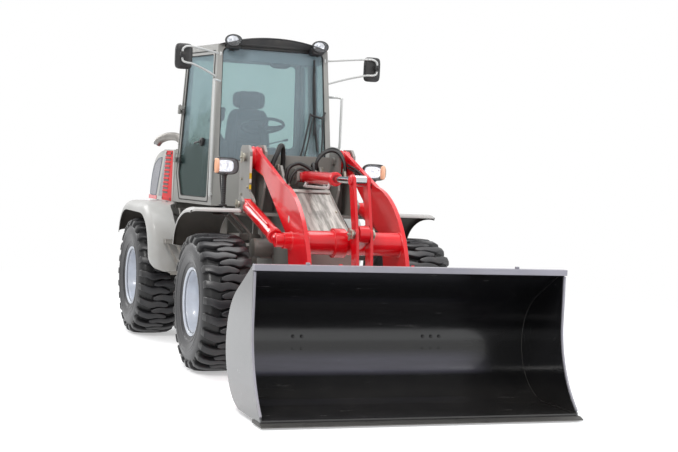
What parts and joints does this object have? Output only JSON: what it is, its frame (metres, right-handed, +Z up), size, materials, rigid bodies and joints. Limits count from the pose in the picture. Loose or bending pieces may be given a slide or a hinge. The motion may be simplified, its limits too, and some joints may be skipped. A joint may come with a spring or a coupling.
{
  "type": "wheel loader",
  "caption": "Compact articulated wheel loader with a cab, lift arms, a tilt linkage and a wide front bucket, its joints working.",
  "frame": {"origin": "bottom centre of the machine's box, on the ground under it", "axes": "+Z up, -Y to the front where the bucket is, +X to the machine's left"},
  "size_m": [2.146, 5.398, 2.6039],
  "materials": {
    "red_paint": "glossy red enamel",
    "grey_paint": "satin warm grey enamel",
    "light_grey_paint": "satin light grey enamel",
    "black_paint": "glossy black enamel",
    "dark_metal": "satin dark grey",
    "chrome_rod": "hard chrome",
    "pin_steel": "machined steel",
    "rim_silver": "silver white enamel",
    "tyre": "dark rubber",
    "cast_iron": "painted casting",
    "glass": "green tinted",
    "seat_fabric": "dark woven cloth",
    "black_plastic": "moulded black",
    "hose_rubber": "black hose rubber",
    "lamp": "clear lens in a housing",
    "exhaust": "heat tinted steel",
    "worn_steel": "worn edge steel"
  },
  "bodies": {
    "rear_body": {"rear_frame": "grey_paint", "rear_axle": "grey_paint", "counterweight": "grey_paint", "engine_block": "cast_iron", "engine_cowl": "light_grey_paint", "side_louvres": "red_paint", "hood_hinges": "dark_metal", "exhaust_pipe": "exhaust", "rear_fenders": "grey_paint", "side_boxes": "grey_paint", "access_steps": "grey_paint", "tail_lamps": "lamp", "cab_frame": "grey_paint", "cab_roof": "black_plastic", "windscreen": "glass", "cab_windows": "glass", "work_lamps": "lamp", "seat_pedestal": "dark_metal", "seat_cushions": "seat_fabric", "steering_column": "black_plastic", "mirrors": "black_plastic", "handrails": "dark_metal"},
    "front_body": {"front_frame": "grey_paint", "front_cover": "light_grey_paint", "hydraulic_hoses": "hose_rubber", "front_fenders": "grey_paint", "headlamps": "lamp", "front_axle": "grey_paint"},
    "lift_arm": {"lift_arm": "red_paint"},
    "tip_shaft": {"tip_shaft": "pin_steel"},
    "bellcrank_pin": {"bellcrank_pin": "pin_steel"},
    "bellcrank": {"bellcrank": "red_paint"},
    "tilt_link": {"tilt_link": "red_paint"},
    "lift_barrels": {"lift_cylinder_barrels": "red_paint"},
    "lift_rods": {"lift_cylinder_rods": "chrome_rod"},
    "tilt_barrel": {"tilt_cylinder_barrel": "red_paint"},
    "tilt_rod": {"tilt_cylinder_rod": "chrome_rod"},
    "bucket_group": {"quick_hitch": "red_paint", "bucket": "black_paint", "cutting_edge": "worn_steel"},
    "hood": {"engine_hood": "light_grey_paint"},
    "door_left": {"cab_door_left": "dark_metal", "door_glass_left": "glass"},
    "door_right": {"cab_door_right": "dark_metal", "door_glass_right": "glass"},
    "steering_barrel_left": {"steering_barrel_left": "red_paint"},
    "steering_barrel_right": {"steering_barrel_right": "red_paint"},
    "steering_rod_left": {"steering_rod_left": "chrome_rod"},
    "steering_rod_right": {"steering_rod_right": "chrome_rod"},
    "wheel_front_left": {"tyre_front_left": "tyre", "rim_front_left": "rim_silver"},
    "wheel_front_right": {"tyre_front_right": "tyre", "rim_front_right": "rim_silver"},
    "wheel_rear_left": {"tyre_rear_left": "tyre", "rim_rear_left": "rim_silver"},
    "wheel_rear_right": {"tyre_rear_right": "tyre", "rim_rear_right": "rim_silver"}
  },
  "joints": [
    {"name": "articulation", "type": "hinge", "parent": "rear_body", "child": "front_body", "pos_m": [0, 0.599, 0.665], "axis": [0, 0, 1], "range_deg": [-40, 40]},
    {"name": "lift", "type": "hinge", "parent": "front_body", "child": "lift_arm", "pos_m": [0, 0.009, 1.59], "axis": [-1, 0, 0], "range_deg": [-2, 80]},
    {"name": "level", "type": "hinge", "parent": "lift_arm", "child": "tip_shaft", "pos_m": [0, -1.551, 0.28], "axis": [1, 0, 0], "range_deg": [-2.2, 80.2]},
    {"name": "tilt", "type": "hinge", "parent": "tip_shaft", "child": "bucket_group", "pos_m": [0, -1.551, 0.28], "axis": [1, 0, 0], "range_deg": [-45, 45]},
    {"name": "bellcrank_level", "type": "hinge", "parent": "lift_arm", "child": "bellcrank_pin", "pos_m": [0, -1.431, 1.09], "axis": [1, 0, 0], "range_deg": [-36.69, 1.11]},
    {"name": "bellcrank_turn", "type": "hinge", "parent": "bellcrank_pin", "child": "bellcrank", "pos_m": [0, -1.431, 1.09], "axis": [1, 0, 0], "range_deg": [-13.39, 13.39]},
    {"name": "link_turn", "type": "hinge", "parent": "bellcrank", "child": "tilt_link", "pos_m": [0, -1.471, 0.7], "axis": [1, 0, 0], "range_deg": [-18.69, 18.69]},
    {"name": "lift_barrels_turn", "type": "hinge", "parent": "front_body", "child": "lift_barrels", "pos_m": [0, -0.181, 1.23], "axis": [-1, 0, 0], "range_deg": [-2.31, 84.68]},
    {"name": "lift_rods_slide", "type": "slide", "parent": "lift_barrels", "child": "lift_rods", "axis": [0, -0.9666, -0.2562], "range_m": [-0.0151, 0.5268]},
    {"name": "tilt_barrel_turn", "type": "hinge", "parent": "front_body", "child": "tilt_barrel", "pos_m": [0, -0.106, 1.457], "axis": [-1, 0, 0], "range_deg": [-2.09, 75.89]},
    {"name": "tilt_rod_slide", "type": "slide", "parent": "tilt_barrel", "child": "tilt_rod", "axis": [0, -1, 0.0024], "range_m": [-0.0737, 0.0737]},
    {"name": "steering_barrel_turn_left", "type": "hinge", "parent": "rear_body", "child": "steering_barrel_left", "pos_m": [0.235, 1.019, 0.6], "axis": [0, 0, 1], "range_deg": [-19.2, 19.2]},
    {"name": "steering_rod_slide_left", "type": "slide", "parent": "steering_barrel_left", "child": "steering_rod_left", "axis": [0, -1, 0], "range_m": [-0.1636, 0.1636]},
    {"name": "steering_barrel_turn_right", "type": "hinge", "parent": "rear_body", "child": "steering_barrel_right", "pos_m": [-0.235, 1.019, 0.6], "axis": [0, 0, 1], "range_deg": [-19.2, 19.2]},
    {"name": "steering_rod_slide_right", "type": "slide", "parent": "steering_barrel_right", "child": "steering_rod_right", "axis": [0, -1, 0], "range_m": [-0.1636, 0.1636]},
    {"name": "door_left_open", "type": "hinge", "parent": "rear_body", "child": "door_left", "pos_m": [0.65194, 1.405, 1.77], "axis": [-0.0579, 0, 0.9983], "range_deg": [0, 95]},
    {"name": "door_right_open", "type": "hinge", "parent": "rear_body", "child": "door_right", "pos_m": [-0.65194, 1.405, 1.77], "axis": [-0.0579, 0, -0.9983], "range_deg": [0, 95]},
    {"name": "hood_open", "type": "hinge", "parent": "rear_body", "child": "hood", "pos_m": [0, 2.089, 1.652], "axis": [1, 0, 0], "range_deg": [0, 65]},
    {"name": "spin_front_left", "type": "hinge", "parent": "front_body", "child": "wheel_front_left", "pos_m": [0.785, -0.476, 0.51], "axis": [1, 0, 0], "continuous": true},
    {"name": "spin_front_right", "type": "hinge", "parent": "front_body", "child": "wheel_front_right", "pos_m": [-0.785, -0.476, 0.51], "axis": [1, 0, 0], "continuous": true},
    {"name": "spin_rear_left", "type": "hinge", "parent": "rear_body", "child": "wheel_rear_left", "pos_m": [0.785, 1.674, 0.51], "axis": [1, 0, 0], "continuous": true},
    {"name": "spin_rear_right", "type": "hinge", "parent": "rear_body", "child": "wheel_rear_right", "pos_m": [-0.785, 1.674, 0.51], "axis": [1, 0, 0], "continuous": true}
  ],
  "couplings": [
    {"joint": "level", "follows": "lift", "ratio": 1},
    {"joint": "bellcrank_level", "follows": "lift", "ratio": -0.45609},
    {"joint": "bellcrank_turn", "follows": "tilt", "ratio": -0.29318},
    {"joint": "link_turn", "follows": "tilt", "ratio": 0.41078},
    {"joint": "lift_barrels_turn", "follows": "lift", "ratio": 1.056},
    {"joint": "lift_rods_slide", "follows": "lift", "m_per_rad": 0.37589},
    {"joint": "tilt_barrel_turn", "follows": "lift", "ratio": 0.94611},
    {"joint": "tilt_rod_slide", "follows": "tilt", "m_per_rad": -0.09131},
    {"joint": "steering_barrel_turn_left", "follows": "articulation", "ratio": 0.47501},
    {"joint": "steering_rod_slide_left", "follows": "articulation", "m_per_rad": -0.23147},
    {"joint": "steering_barrel_turn_right", "follows": "articulation", "ratio": 0.47501},
    {"joint": "steering_rod_slide_right", "follows": "articulation", "m_per_rad": 0.23147}
  ]
}
